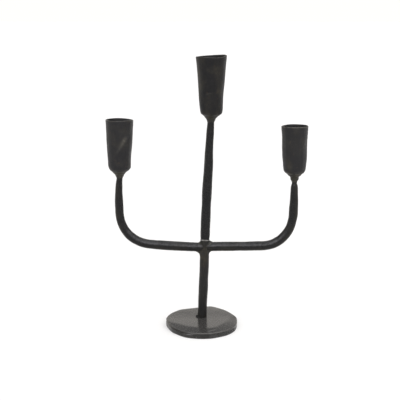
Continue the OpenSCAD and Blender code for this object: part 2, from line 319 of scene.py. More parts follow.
def base_plate():
    """The forged plate as one closed ring around the peg's hole. Each row runs round at a share of
    the way from the hole's circle to the outline: along the underside, up the stepped wall, over
    the rounded rim, across the top and down through the hole. A groove runs under the rim at the
    left front and pits lie at the right front. The rim's top edge gets the pale edge mark, a little wear
    and a painted highlight along it. The wall gets the bloom mark, which paints shade on it."""
    angle = around(432)
    rim = outline(angle)
    unit = np.stack([np.cos(angle), np.sin(angle)], -1)
    edge = unit * rim[:, None]

    def row(share, hole, inset=0.0):
        """Points of a row, at a share of the way from the hole's circle to the outline less inset."""
        inner = FOOT[:2] + hole * unit
        return inner + share * (edge - unit * np.reshape(inset, (-1, 1)) - inner)

    hole, peen = PEG_R + FIT, PEEN_R + FIT
    roll = 0.75
    lip = row(1, hole, roll)
    rim_z = plate_height(lip[:, 0], lip[:, 1])
    rows, heights = [], []

    def lay(xy, z):
        """Adds a row of points at the height z."""
        rows.append(xy)
        heights.append(np.broadcast_to(z, rim.shape))

    step = 0.35 + 0.2 * lattice(np.stack([edge[:, 0], edge[:, 1], 0 * rim], -1), 6, 21)
    for z in np.linspace(PEEN_H + PEEN_RECESS, PEEN_RECESS, 6):
        lay(row(0, hole + (PEEN_H + PEEN_RECESS - z) / PEEN_H * (peen - hole)), z)
    lay(row(0, peen), 0.1)
    lay(row(0, peen + 0.1), 0.0)
    for share in np.linspace(0.03, 1, 44):
        xy = row(share, peen, step + 0.3)
        pits = 0.05 * (1 + lattice(np.append(xy, 0 * rim[:, None], 1), 4, 22))
        lay(xy, pits * smooth(share * 4) * smooth((1 - share) * 8) * 1.2)
    for t in np.linspace(0, math.pi / 2, 6)[1:]:
        lay(row(1, hole, step + 0.3 - 0.3 * math.sin(t)), 0.3 - 0.3 * math.cos(t))
    left_front = smooth((np.cos(angle - math.radians(216)) - 0.66) / 0.22)
    right_front = smooth((np.cos(angle - math.radians(308)) - 0.82) / 0.13)
    for v in np.linspace(0, 1, 50)[1:]:
        z = 0.3 + v * (rim_z - roll - 0.3)
        at = np.stack([edge[:, 0], edge[:, 1], z * 1.6], -1)
        inset = step * (1 - smooth((z - 0.9) / 1.2))
        below = rim_z - z
        groove = 0.9 * np.exp(-(((below - 1.1) / 0.42) ** 2))
        inset += left_front * (groove + 0.5 * smooth((2.8 - below) / 1.2))
        pits = smooth(lattice(at, 1.9, 26) / 0.3)
        inset += 1.1 * pits * right_front * smooth((z - 1.2) / 0.6) * (1 - smooth((z - 4.2) / 0.8))
        rough = 0.18 * lattice(at, 2.4, 24) + 0.07 * lattice(at, 1.1, 25)
        lay(row(1, hole, inset + (0.12 + rough) * smooth((1 - v) * 4)), z)
    for t in np.linspace(0, math.pi / 2, 7)[1:]:
        lay(row(1, hole, roll * (1 - math.cos(t))), rim_z - roll * (1 - math.sin(t)))
    for share in 1 - np.linspace(0, 1, 108)[1:] ** 0.92:
        xy = row(share, hole, roll)
        lay(xy, plate_height(xy[:, 0], xy[:, 1]))
    for z in np.linspace(plate_top - 1.1, PEEN_H + PEEN_RECESS + 0.6, 5):
        lay(row(0, hole), z)
    xy, z = np.array(rows), np.array(heights)
    xy[..., 1] = np.clip(xy[..., 1], corners("base")[0][1], corners("base")[1][1])
    points = np.concatenate([xy, z[..., None]], -1)
    from_rim = rim - np.hypot(xy[..., 0], xy[..., 1])
    # The rim's top edge is painted a little pale: wear, and a painted highlight along the rim.
    edge_mark = np.exp(-((from_rim - 0.6) / 1.1) ** 2) * smooth((z - 4.9) / 1.2)
    # Painted shade: the wall below the rim is darkened through the bloom mark and the plate's near-black
    # olive.
    painted_wall_shade = smooth((0.9 - from_rim) / 0.6) * smooth((rim_z - 0.5 - z) / 0.8)
    return skin("base_plate", points, closed=True, edge=edge_mark, bloom=painted_wall_shade)


# ---------------------------------------------------------------- stem


# stations along a bar from its lower end, its radius there, and its sideways sway
POST_AT = [0, 2.5, 12, 20, 35, 49, 56, 64, 71, 80, 86, POST_LEN]
POST_GIRTH = [5.4, 5.35, 5.22, 5.22, 5.45, 5.28, 5.33, 5.39, 5.38, 5.25, 5.35, 5.3]
POST_SWAY = [0, 0.03, 0, 0, 0.23, 0.16, 0.36, 0.3, 0.16, 0, -0.03, 0]
SPINDLE_AT = [0, 3, 12, 31, 41, 50, 68.7, 87.3, 105.6, 115, 124, 132.9, SPINDLE_LEN]
SPINDLE_GIRTH = [5.0, 5.35, 5.42, 5.48, 5.2, 5.54, 5.32, 5.07, 4.52, 4.27, 4.3, 3.95, 3.9]
SPINDLE_SWAY = [0, 0, -0.17, -0.33, -0.35, -0.4, -0.34, -0.07, -0.41, -0.25, -0.1, 0, 0]


def post_bar():
    """Lower stem: peened head, peg, round bar with hammer flats, rounded shoulder and the blind hole
    for the spindle's tenon. The shoulder is proud at the front, where the weld pulled it up, and its
    corner has a painted highlight, strongest at the front. An olive stain, exp(-(distance / 9)²), lies
    below the crossing."""
    angle = around(112)
    peg = [(0, PEEN_RECESS - plate_top), (PEEN_R, PEEN_RECESS - plate_top),
           (PEG_R, PEEN_RECESS + PEEN_H - plate_top), (PEG_R, -0.05), (5.2, -0.05)]
    head = spaced(rounded(peg, (0.9, 0.25, 0.05)), 0.5)
    s = np.arange(0.25, POST_LEN - 1.0, 0.45)
    r = through(POST_AT, POST_GIRTH, s)
    shoulder = [(5.3, POST_LEN - 0.95), (5.3, POST_LEN), (TENON_R + FIT, POST_LEN),
                (TENON_R + FIT, POST_LEN - TENON_LEN - 1), (0, POST_LEN - TENON_LEN - 1)]
    top = spaced(rounded(shoulder, (0.9, 0.2, 0.1), 8), 0.5)
    profile = np.concatenate([head, np.stack([r, s], -1), top])
    radius = profile[:, :1] + 0 * angle
    station = profile[:, 1:] + 0 * angle
    bar = np.zeros(len(profile), bool)
    bar[len(head):len(head) + len(s)] = True
    marks = strokes(31, 34, 3, 84, (3, 7), (0.08, 0.3))
    radius[bar] = flats(radius[bar], angle, station[bar], marks)
    station += 0.55 * smooth((station - POST_LEN + 2) / 2) * np.sin(angle).clip(0) ** 2
    points = straight(np.stack([radius, station], -1), FOOT, POST_DIR, angle)
    grain = 0.03 * lattice(points, 1.3, 32) + 0.05 * lattice(points, 4, 33)
    radius = radius + np.where(radius > 1, grain * bar[:, None], 0)
    sway = through(POST_AT, POST_SWAY, profile[:, 1])
    shift = np.stack([sway, 0 * sway, 0 * sway], -1)
    points = straight(np.stack([radius, station], -1), FOOT, POST_DIR, angle, shift)
    # Painted highlight: a pale line round the shoulder's corner, strongest at the front, for light caught by
    # the rounded corner.
    rim = np.exp(-((profile[:, 1:] - POST_LEN + 0.75) / 0.32) ** 2) * (profile[:, :1] > 4.2)
    near_weld = 0.4 * np.exp(-((profile[:, 1:] - POST_LEN + 23) / 9) ** 2) + 0 * angle
    return skin("post_bar", points, edge=rim * (0.5 + 0.5 * np.sin(angle)), bloom=near_weld)


def spindle_bar():
    """Upper stem: tenon, parallel part, drawn-down top and the spigot for the cup, with a slow
    sideways sway and hammer flats along it."""
    angle = around(112)
    low = [(0, -TENON_LEN), (TENON_R, -TENON_LEN), (TENON_R, 0.05), (4.9, 0.05)]
    head = spaced(rounded(low, (0.5, 0.1)), 0.5)
    s = np.arange(0.35, SPINDLE_LEN - 0.2, 0.45)
    r = through(SPINDLE_AT, SPINDLE_GIRTH, s)
    tip = SPINDLE_LEN + 6.2
    high = [(3.9, SPINDLE_LEN), (SPIGOT_R, SPINDLE_LEN), (SPIGOT_R, tip), (0, tip)]
    top = spaced(rounded(high, (0.1, 0.4)), 0.5)
    profile = np.concatenate([head, np.stack([r, s], -1), top])
    radius = profile[:, :1] + 0 * angle
    station = profile[:, 1:] + 0 * angle
    bar = np.zeros(len(profile), bool)
    bar[len(head):len(head) + len(s)] = True
    marks = strokes(41, 46, 5, 130, (4, 9), (0.06, 0.3))
    marks += [(1.35, 62, 26, 0.35), (2.1, 30, 22, 0.22), (0.5, 98, 20, 0.3)]
    radius[bar] = flats(radius[bar], angle, station[bar], marks)
    points = straight(np.stack([radius, station], -1), POST_TOP, SPINDLE_DIR, angle)
    grain = 0.025 * lattice(points, 1.3, 42) + 0.05 * lattice(points, 4, 43)
    radius = radius + np.where(radius > 1, grain * bar[:, None], 0)
    sway = through(SPINDLE_AT, SPINDLE_SWAY, profile[:, 1])
    shift = np.stack([sway, 0 * sway, 0 * sway], -1)
    points = straight(np.stack([radius, station], -1), POST_TOP, SPINDLE_DIR, angle, shift)
    return skin("spindle_bar", points, edge=0.0, bloom=-0.2)


# ---------------------------------------------------------------- arms

# side: of the post. drop: depth of the joint below the post's top. reach: from the post to the leg's
# axis. rise and lean: of the run and the leg, in degrees. leg: its top above the joint. neck: length of
# its weld. at: stations along the arm, with the radius there as girth, and the bow of the bar, which is
# outwards from its bend on the left arm and inwards on the right one. spread: how much
# further the arm's weld reaches along the arm below and above. climb: how much further it reaches down
# the post. proud: how far it swells above. highlight_height and highlight_strength: of a highlight
# painted on the weld, a pale spot for light caught by the bead.
BEND_R = 38.0
ARMS = {
    "left": dict(
        side=-1, drop=10.0, reach=98.2, rise=3.0, lean=3.0, leg=81.6, neck=4.1, seed=51,
        at=[0, 9.5, 23.4, 51, 65, 79.6, 88, 100, 108, 115, 122.4, 129.5, 136.5, 143.5, 150.5, 157.5, 160.4],
        girth=[5.3, 5.22, 5.33, 5.39, 5.23, 5.12, 5.23, 4.87, 4.84, 4.79, 4.79, 4.8, 4.63, 4.18, 4.0,
               3.51, 3.35],
        bow=[0, 0.15, 0.22, 0, -0.45, -0.45, -0.4, -0.53, -0.65, -0.7, -0.39, 0.22, 0.6, 0.95, 0.95,
             0.75, 0.65],
        spread=(4.8, 0.4), climb=3.6, proud=0.0, highlight_height=1.5, highlight_strength=0.35),
    "right": dict(
        side=1, drop=9.4, reach=101.7, rise=0.6, lean=0.0, leg=76.4, neck=6.3, seed=52,
        at=[0, 8, 16, 30, 50, 57.6, 64, 71.6, 78.8, 86.6, 95.6, 108.5, 116, 123, 130, 137, 144, 151, 156,
            157.3, 158.7, 161.1],
        girth=[5.3, 5.36, 5.34, 5.32, 5.26, 5.4, 5.4, 5.25, 5.35, 5.4, 5.3, 5.1, 5.05, 5.19, 5.21, 4.9, 4.59,
               4.28, 3.95, 3.7, 3.15, 2.85],
        bow=[0, 0.2, 0.28, 0.22, 0.28, 0.39, 0.42, 0.17, -0.17, -0.25, -0.07, 0.2, 0.45, 0.11, -0.05, -0.33,
             -0.33, -0.37, -0.35, -0.33, -0.3, -0.25],
        spread=(0.6, 3.2), climb=3.0, proud=0.85, highlight_height=3.4, highlight_strength=0.9),
}


def arm_joint(arm):
    """The point on the post's axis where an arm's axis starts."""
    return FOOT + (POST_LEN - arm["drop"]) * POST_DIR


def arm_path(arm, step):
    """An arm's axis from the post outwards: a straight run that rises, an arc of the bend's radius,
    a straight leg that leans back inwards, and the upright spigot. Returns points and stations."""
    rise, lean = math.radians(arm["rise"]), math.radians(arm["lean"])
    run = (arm["reach"] - BEND_R + BEND_R * math.sin(rise)) / math.cos(rise)
    across = arm["reach"] - BEND_R
    middle = np.array([across, across * math.tan(rise) + BEND_R / math.cos(rise)])
    turn = math.pi / 2 - rise + lean
    end = middle + BEND_R * np.array([math.cos(lean), math.sin(lean)])
    leg = (arm["leg"] - end[1]) / math.cos(lean)
    bend = BEND_R * turn
    length = run + bend + leg
    s = np.append(np.arange(0, length, step), length)
    a = rise - math.pi / 2 + np.clip((s - run) / BEND_R, 0, turn)
    flat = middle + BEND_R * np.stack([np.cos(a), np.sin(a)], -1)
    flat += np.clip(s - run, None, 0)[:, None] * np.array([math.cos(rise), math.sin(rise)])
    flat += np.clip(s - run - bend, 0, None)[:, None] * np.array([-math.sin(lean), math.cos(lean)])
    start = arm_joint(arm)
    path = np.stack([start[0] + arm["side"] * flat[:, 0], start[1] + 0 * s, start[2] + flat[:, 1]], -1)
    return path, s, length


def saddle(across):
    """How far from the post's axis an arm's end lies: on the post's surface, but never nearer than
    2.5."""
    return np.sqrt(np.clip(POST_R**2 - across**2, 2.5**2, None))


def arm_bar(name):
    """A bent arm: rings carried along its axis, the first ones pushed out to the saddle on the
    post, with hammer flats, a drawn-down leg and the spigot. Where the bar runs level, a band a
    little above the middle is painted pale as a highlight, for the light from above and in front.
    Its underside, outside the bend, carries an olive stain."""
    arm = ARMS[name]
    angle = around(112)
    path, s, length = arm_path(arm, 0.5)
    path += through(arm["at"], arm["bow"], s)[:, None] * square_to(path)
    radius = through(arm["at"], arm["girth"], s)[:, None] + 0 * angle
    marks = strokes(arm["seed"], 64, 10, length - 6, (3, 8), (0.06, 0.32))
    radius = flats(radius, angle, s[:, None] + 0 * angle, marks)
    ring = carried(path, radius, angle)
    radius += 0.03 * lattice(ring, 1.3, arm["seed"] + 2) + 0.06 * lattice(ring, 4, arm["seed"] + 3)
    points = carried(path, radius, angle)
    rise = math.radians(arm["rise"])
    out = np.array([arm["side"] * math.cos(rise), 0, math.sin(rise)])
    reach = saddle(radius * np.sin(angle))
    push = reach * np.clip(1 - s / 20, 0, 1)[:, None]
    points += push[..., None] * out
    cap = np.array([0, 0.4, 0.8])[:, None] * radius[0]
    spokes = (points[0] - push[0][:, None] * out - path[0]) / radius[0][:, None]
    end = path[0] + cap[..., None] * spokes + saddle(cap * np.sin(angle))[..., None] * out
    tip = arm["neck"] + 2.6
    spigot = spaced(rounded([(2.8, 0), (SPIGOT_R, 0.02), (SPIGOT_R, tip), (0, tip)], (0.02, 0.4)), 0.6)
    outward = np.stack([-np.cos(angle), -np.sin(angle), 0 * angle], -1)
    peg = path[-1] + spigot[:, :1, None] * outward + spigot[:, 1:, None] * np.array([0, 0, 1.0])
    points = np.concatenate([end, points, peg])
    top = np.cos(angle) * arm["side"]
    along = np.gradient(path, axis=0)
    level = np.abs(along[:, 0]) / np.linalg.norm(along, axis=1)
    level = np.concatenate([np.ones(len(end)), level, np.zeros(len(peg))])
    # Painted highlight: a pale band a little above the middle of the level run, for the light from above and
    # in front, set through the edge mark.
    band = smooth((top - 0.12) / 0.3) * (1 - 0.75 * smooth((top - 0.5) / 0.35))
    painted_top_highlight = 0.44 * band * smooth((level[:, None] - 0.4) / 0.55)
    painted_top_highlight *= 0.85 + 0.6 * lattice(points, 9, arm["seed"] + 5)
    return skin(f"arm_{name}_bar", points, edge=painted_top_highlight, bloom=0.5 * np.clip(-top, 0, 1))


# ---------------------------------------------------------------- cups

# wall: heights above the funnel's foot, with the outside radius at each; sway: how far the wall's
# middle lies to the right there. hollows, painted_highlights and stains follow dents(); the
# painted highlights are pale patches for light on beaten facets. waves: size, number and
# phase of the cosines in the rim, which also stands higher by rise. rim_wear_and_highlight: how pale
# the rim is painted, for wear and as a painted highlight along it. tone: how pale the iron is beside
# the left cup's.
CUPS = {
    "left": dict(
        wall=([0, 1.2, 2.8, 5.2, 7.5, 9.8, 16.1, 20.7, 25.3, 29.8, 34.4, 38.9, 43.5, 48, 52.5, 57, 62.13],
              [5.0, 6.46, 7.8, 10.6, 12.3, 12.75, 13.04, 13.32, 13.75, 14.12, 14.42, 14.67, 14.92, 15.03,
               15.15, 15.4, 15.7]),
        sway=[-0.6, -0.62, -0.61, -0.31, -0.15, -0.35, -0.38, -0.41, -0.3, -0.1, 0, 0.05, 0.3, 0.35, 0.37,
              0.5, 0.5],
        hollows=[(2.35, 40, 3.2, 11, -0.5, 0.5), (1.75, 24, 4.5, 9, -0.6, 0.3), (3.1, 44, 6, 6, 0, 0.25),
                 (3.0, 28, 6, 5, 0, 0.2), (0.9, 30, 7, 16, 0.1, 0.25), (5.0, 35, 7, 12, 0.3, 0.4)],
        waves=[(0.35, 1, 0.9), (0.22, 2, 2.2), (0.12, 3, 0.4)],
        rise=0.35, rim_wear_and_highlight=0.6,
        painted_highlights=[(2.03, 41, 2.2, 3.6, -0.45, 1.0), (1.75, 34, 1.8, 9, -0.55, 0.5)],
        stains=[(0.5, 45, 4, 15, 0, 0.35)], tone=1.0, seed=61),
    "centre": dict(
        wall=([0, 1.5, 3.1, 5.9, 8.5, 11.4, 17, 22.6, 28, 33.7, 39, 44.7, 50, 55.6, 61, 66.6, 70.5],
              [5.3, 6.85, 8.22, 11.7, 12.44, 12.85, 13.33, 13.69, 13.95, 14.4, 14.77, 15.08, 15.5, 15.98,
               16.38, 16.92, 17.2]),
        sway=[0.05, 0.14, 0.48, 0.65, 0.6, 0.55, 0.35, 0.21, 0.25, 0.27, 0.38, 0.45, 0.41, 0.36, 0.38,
              0.41, 0.41],
        hollows=[(0.45, 42, 3.5, 15, 0.1, 0.4), (2.2, 46, 6, 12, 0.2, 0.25), (1.4, 20, 6, 9, -0.4, 0.22),
                 (3.6, 25, 7, 14, 0, 0.35), (4.9, 40, 8, 12, 0.3, 0.4), (2.7, 24, 5, 10, -0.2, 0.25)],
        waves=[(0.75, 1, 3.75), (0.5, 2, 0.55), (0.18, 3, 1.0)],
        rise=-1.28, rim_wear_and_highlight=0.35, tone=0.72, painted_highlights=[(1.35, 29, 3, 0.7, 0.2, 0.5)],
        stains=[(0.45, 48, 4, 22, 0, 0.6), (2.3, 30, 3, 5, 0.2, 0.8), (2.1, 50, 4, 14, 0.1, 0.5)], seed=62),
    "right": dict(
        wall=([0, 1.2, 2.9, 5.2, 6.9, 9.8, 16.1, 20.7, 25.3, 29.8, 34.4, 39, 43.5, 48, 52.5, 57.2],
              [4.8, 6.93, 8.35, 11.1, 12.13, 12.75, 13.36, 13.85, 14.08, 14.18, 14.25, 14.29, 14.36, 14.56,
               14.93, 15.2]),
        sway=[0.15, 0.15, 0.12, 0, -0.05, -0.05, -0.05, -0.13, -0.28, -0.42, -0.52, -0.5, -0.5, -0.56,
              -0.72, -0.75],
        hollows=[(0.55, 34, 3.5, 11, 0.1, 0.35), (2.65, 37, 3.5, 10, -0.1, 0.5), (1.9, 38, 4.5, 10, 0, 0.28),
                 (1.2, 20, 6, 10, 0.3, 0.2), (4.2, 30, 8, 12, 0, 0.4), (5.4, 36, 6, 12, 0.2, 0.35)],
        waves=[(0.2, 1, 2.6), (0.16, 2, 1.1), (0.1, 4, 0.3)],
        rise=0.75, rim_wear_and_highlight=0.9, tone=1.0, painted_highlights=[(0.35, 38, 2, 9, 0, 0.35)],
        stains=[(1.5, 36, 6, 9, 0, 0.2), (0.9, 14, 4, 8, 0, 0.3)], seed=63),
}
SEAT_R, SEAT_LEN, RIM_WALL, FLOOR, CORNER_Z = 11.2, 14.0, 1.4, 2.0, 9.921
EDGE_R = RIM_WALL / 2


def cup(name):
    """A candle cup as one closed ring around its spigot's hole: up the funnel, the rounded corner and
    the flared wall, over the rim, and down the inside to the parallel seat and the floor. The wall's
    radius has beaten hollows and flats, and the rim rises and falls as a sum of cosines. The rim is
    painted pale, for wear and as a painted highlight, the wall has pale patches painted as
    highlights on its facets, and the stains and the funnel's foot are olive."""
    make = CUPS[name]
    node = f"cup_{name}"
    low, high = corners(node)
    centre, lip, tall = axis_of(node), low[2], high[2] - low[2]
    angle = around(256)
    z = np.concatenate([np.linspace(0, 12, 40), np.linspace(12, tall - EDGE_R, 118)[1:]])
    r = through(*make["wall"], z)
    outside = np.stack([r, z], -1)
    mouth = r[-1]
    over = np.linspace(0, math.pi, 13)[1:-1]
    rim = np.stack([mouth - EDGE_R + EDGE_R * np.cos(over), tall - EDGE_R + EDGE_R * np.sin(over)], -1)
    inside_mouth = mouth - RIM_WALL
    seat_top = CORNER_Z + SEAT_LEN
    corner = [(inside_mouth, tall - EDGE_R), (SEAT_R, seat_top), (SEAT_R, CORNER_Z - 1.2),
              (SEAT_R - 7.2, FLOOR), (HOLE_R, FLOOR)]
    inside = spaced(rounded(corner, (3, 3, 1), 6), 1.3)[1:]
    under = np.array([(HOLE_R, FLOOR - 0.7), (HOLE_R, 0.7), (HOLE_R, 0.0), (3.3, 0.0), (4.0, 0.0)])
    profile = np.concatenate([outside, rim, inside, under])
    radius = profile[:, :1] + 0 * angle
    height = profile[:, 1:] + 0 * angle
    n = len(outside)
    share = smooth((height - 5) / 6)
    wall = slice(0, n + len(rim))
    marks = strokes(make["seed"], 22, 12, tall - 8, (9, 22), (0.05, 0.2))
    beaten = dents(radius[wall], angle, height[wall], make["hollows"])
    beaten = flats(beaten, angle, height[wall], marks, 0.25)
    at = lathe(np.stack([radius, height], -1), angle, centre)
    at[..., 2] += lip
    fine = 0.03 * lattice(at, 1.4, make["seed"] + 10) + 0.07 * lattice(at, 4.5, make["seed"] + 20)
    fine += 0.012 * lattice(at, 0.8, make["seed"] + 30)
    moved = beaten - radius[wall]
    radius[wall] += moved * share[wall] + fine[wall] * smooth(height[wall] / 4)
    inner = slice(n + len(rim), len(profile) - len(under))
    near_top = smooth((height - seat_top) / (tall - seat_top))
    radius[inner] += (moved[n - 1] + 0 * radius[inner]) * near_top[inner] + 0.5 * fine[inner]
    lift = sum(size * np.cos(k * (angle - phase)) for size, k, phase in make["waves"])
    height = height + (lift + make["rise"]) * smooth((height - tall + 14) / 14)
    sway = through(make["wall"][0], make["sway"], profile[:, 1])
    points = lathe(np.stack([radius, height], -1), angle, centre)
    points[..., 0] += sway[:, None]
    points[..., 2] += lip
    # The rim is painted pale, for wear and as a painted highlight; the listed patches added below are
    # painted highlights on beaten facets.
    worn_and_highlighted = np.zeros(len(profile))
    worn_and_highlighted[n - 1:n + 6] = make["rim_wear_and_highlight"]
    spread = slice(0, n)
    painted_highlights = worn_and_highlighted[:, None] + 0 * angle
    outer = profile[:, :1] > HOLE_R + 0.3
    stain = (1 - smooth((profile[:, 1:] - 2) / 7)) * outer + 0 * angle
    for marks, into in ((make["painted_highlights"], painted_highlights), (make["stains"], stain)):
        dented = dents(radius[spread], angle, profile[spread, 1:] + 0 * angle, marks)
        into[spread] += radius[spread] - dented
    return skin(f"candle_cup_{name}", points, closed=True, edge=painted_highlights, bloom=stain)


# ---------------------------------------------------------------- welds

NECKS = {
    "left": dict(seam=3.6, top=5.2, shift=(-0.65, -0.6), pits=[], seed=71),
    "centre": dict(seam=3.95, top=5.5, shift=(0, 0.05), pits=[], seed=72),
    "right": dict(seam=3.1, top=5.3, shift=(0.25, 0.15), seed=73,
                  pits=[(1.05, 3.6, 0.75, 0.75, 0, 0.9), (2.35, 2.3, 0.7, 0.8, 0, 0.9),
                        (1.6, 4.6, 0.5, 0.4, 0, 0.35)]),
}


def neck_weld(name):
    """The weld between a bar and its cup as a closed ring around the spigot. Its hollow side follows
    seam + (top - seam) * t², swollen by a sine and rippled where each drop of metal set."""
    make = NECKS[name]
    low, high = corners(f"neck_weld_{name}")
    centre, base, tall = axis_of(f"neck_weld_{name}"), low[2], high[2] - low[2]
    angle = around(128)
    t = np.linspace(0, 1, 34)
    side = make["seam"] + (make["top"] - make["seam"]) * t**1.8 + 0.25 * np.sin(t * math.pi)
    if name == "right":
        side += 0.55 * smooth((t - 0.12) / 0.25) * (1 - smooth((t - 0.45) / 0.5))
    outside = np.stack([side, t * tall], -1)
    hole = np.array([(HOLE_R + 1, tall), (HOLE_R, tall), (HOLE_R, tall / 2), (HOLE_R, 0), (HOLE_R + 0.3, 0)])
    profile = np.concatenate([outside, hole])
    radius = profile[:, :1] + 0 * angle
    height = profile[:, 1:] + 0 * angle
    wall = slice(0, len(outside))
    swell = np.sin(t * math.pi)[:, None]
    ripple = 0.09 * np.cos(9 * angle + 5 * height[wall] / tall) + 0.12 * np.cos(3 * angle + make["seed"])
    at = lathe(np.stack([radius, height], -1), angle, centre)
    at[..., 2] += base
    lumps = 0.22 * lattice(at, 1.5, make["seed"]) + 0.1 * lattice(at, 0.7, make["seed"] + 1)
    beaded = radius[wall] + (ripple + lumps[wall]) * (0.3 + 0.7 * swell)
    radius[wall] = dents(beaded, angle, height[wall], make["pits"])
    radius[wall] = np.maximum(radius[wall], HOLE_R + 0.1)
    points = lathe(np.stack([radius, height], -1), angle, centre)
    points[..., 0] += make["shift"][0] + (make["shift"][1] - make["shift"][0]) * height / tall
    points[..., 2] += base
    return skin(f"neck_weld_{name}_bead", points, closed=True, edge=0.0, bloom=0.6)


def arm_fillet(name):
    """The weld where an arm meets the post: a hollow fillet between their surfaces, as a closed band.
    At each angle round the arm, its face is a quadratic curve from a point on the arm to a point on
    the post, controlled by the corner between them; its back runs just inside the metal."""
    arm = ARMS[name]
    angle = around(160)
    joint, out = arm_joint(arm), np.array([arm["side"], 0, math.tan(math.radians(arm["rise"]))])
    rise, across = np.cos(angle), np.sin(angle)
    r, post_r = 5.12, 5.22
    below = np.clip(-rise, 0, 1)
    above = np.clip(rise, 0, 1)
    spread = arm["spread"][0] * below + arm["spread"][1] * above
    reach = 0.5 + (2.6 + spread) * np.abs(rise) ** 1.3
    climb = (0.35 + (2.4 + arm["climb"] * below) * np.abs(rise) ** 1.3) * np.sign(rise)
    y = r * across
    x = np.sqrt(np.clip(post_r**2 - y**2, 0.9, None))
    up = np.array([math.tan(POST_LEAN), 0, 1.0])

    def place(x, y, z):
        """A point at x along the arm, y to the front and z up the post, from the joint."""
        return joint + x[:, None] * out + y[:, None] * FRONT + z[:, None] * up

    on_arm = place(x + reach, y, r * rise)
    corner = place(x + 0.1, y, r * rise)
    on_post = place(x, y, r * rise + climb)
    t = np.linspace(0, 1, 22)[:, None, None]
    face = (1 - t) ** 2 * on_arm + 2 * t * (1 - t) * corner + t**2 * on_post
    outward = (on_arm + on_post) / 2 - corner
    outward /= np.linalg.norm(outward, axis=1)[:, None]
    swell = np.sin(t * math.pi)
    lumps = 0.18 * lattice(face, 2.2, arm["seed"] + 20) + 0.07 * lattice(face, 0.9, arm["seed"] + 21)
    bead = 0.1 * np.cos(11 * angle)[None, :] * swell[..., 0]
    proud = 0.15 + arm["proud"] * above
    face = face + (swell[..., 0] * (proud + lumps) + bead)[..., None] * outward
    back = corner - 0.7 * outward
    behind = [on_post - 0.45 * outward, back, on_arm - 0.45 * outward]
    points = np.concatenate([face, np.array(behind)])
    # Painted highlight: a pale spot on the weld's face for light caught by the bead, set through the edge
    # mark.
    spot = joint + np.array([arm["side"] * 7.2, -4.6, arm["highlight_height"]])
    bright = np.exp(-(((points - spot) / 1.5) ** 2).sum(axis=-1)) * arm["highlight_strength"]
    return skin(f"arm_weld_{name}_fillet", points, closed=True, edge=bright, bloom=0.3)


def foot_tack():
    """The tack weld at the foot of the post: drops of metal along an arc, as rings carried round it,
    whose radius is sqrt(1 - u²) along the arc, swollen where each drop set."""
    u = np.linspace(-1, 1, 56)
    angle = around(48)
    turn = math.pi + 0.68 * u
    size = 1.45 * np.sqrt(np.clip(1 - u**2, 0, None)) * (1 + 0.14 * np.cos(u * 9))
    spine = 5.2 + 0.35 * size
    ring = np.stack([np.cos(turn), np.sin(turn)], -1)
    flat = (spine[:, None] + size[:, None] * np.cos(angle))
    z = FOOT[2] + 0.25 + 1.15 * size[:, None] * np.sin(angle)
    x = FOOT[0] + flat * ring[:, :1]
    y = FOOT[1] + flat * ring[:, 1:]
    points = np.stack([x, y, np.maximum(z, FOOT[2] - 0.3)], -1)
    points += (0.12 * lattice(points, 1.1, 81) * (size[:, None] > 0.2))[..., None]
    return skin("foot_tack", points[:, ::-1], edge=0.0, bloom=0.0)


# ---------------------------------------------------------------- shared effects of the finishes


def group(name, inputs, outputs):
    """An empty node group with named inputs (name, kind, value) and outputs (name, kind)."""
    tree = bpy.data.node_groups.new(name, "ShaderNodeTree")
    for label, kind, value in inputs:
        tree.interface.new_socket(label, in_out="INPUT", socket_type=kind).default_value = value
    for label, kind in outputs:
        tree.interface.new_socket(label, in_out="OUTPUT", socket_type=kind)
    return tree, tree.nodes.new("NodeGroupInput"), tree.nodes.new("NodeGroupOutput")


def node(tree, kind, link=None, **settings):
    """A node with settings. link maps a socket's name or number to an output or to a value."""
    made = tree.nodes.new(kind)
    for key, value in settings.items():
        setattr(made, key, value)
    for key, source in (link or {}).items():
        socket = made.inputs[key]
        if isinstance(source, bpy.types.NodeSocket):
            tree.links.new(source, socket)
        else:
            socket.default_value = source
    return made


def sums(tree, operation, a, b, clamp=False):
    """The output of a Math node on a and b."""
    return node(tree, "ShaderNodeMath", {0: a, 1: b}, operation=operation, use_clamp=clamp).outputs[0]


def ramp(tree, source, low, high):
    """source stretched so that low becomes 0 and high becomes 1, held between them."""
    return node(tree, "ShaderNodeMapRange", {"Value": source, "From Min": low, "From Max": high},
                interpolation_type="SMOOTHSTEP").outputs[0]


def noise(tree, scale, detail, rough):
    """Noise on the object's own coordinates, from 0 to 1."""
    place = node(tree, "ShaderNodeTexCoord").outputs["Object"]
    return node(tree, "ShaderNodeTexNoise", {"Vector": place, "Scale": scale, "Detail": detail,
                                             "Roughness": rough}).outputs["Fac"]


def mix(tree, share, a, b):
    """Colour a moved towards b by share."""
    made = node(tree, "ShaderNodeMix", data_type="RGBA")
    for key, source in ((0, share), (6, a), (7, b)):
        if isinstance(source, bpy.types.NodeSocket):
            tree.links.new(source, made.inputs[key])
        else:
            made.inputs[key].default_value = source
    return made.outputs[2]


DRY_WAX = (0.11, 0.105, 0.095, 1)
PIT_SCALE = (0.008, 0.008, 0.007, 1)


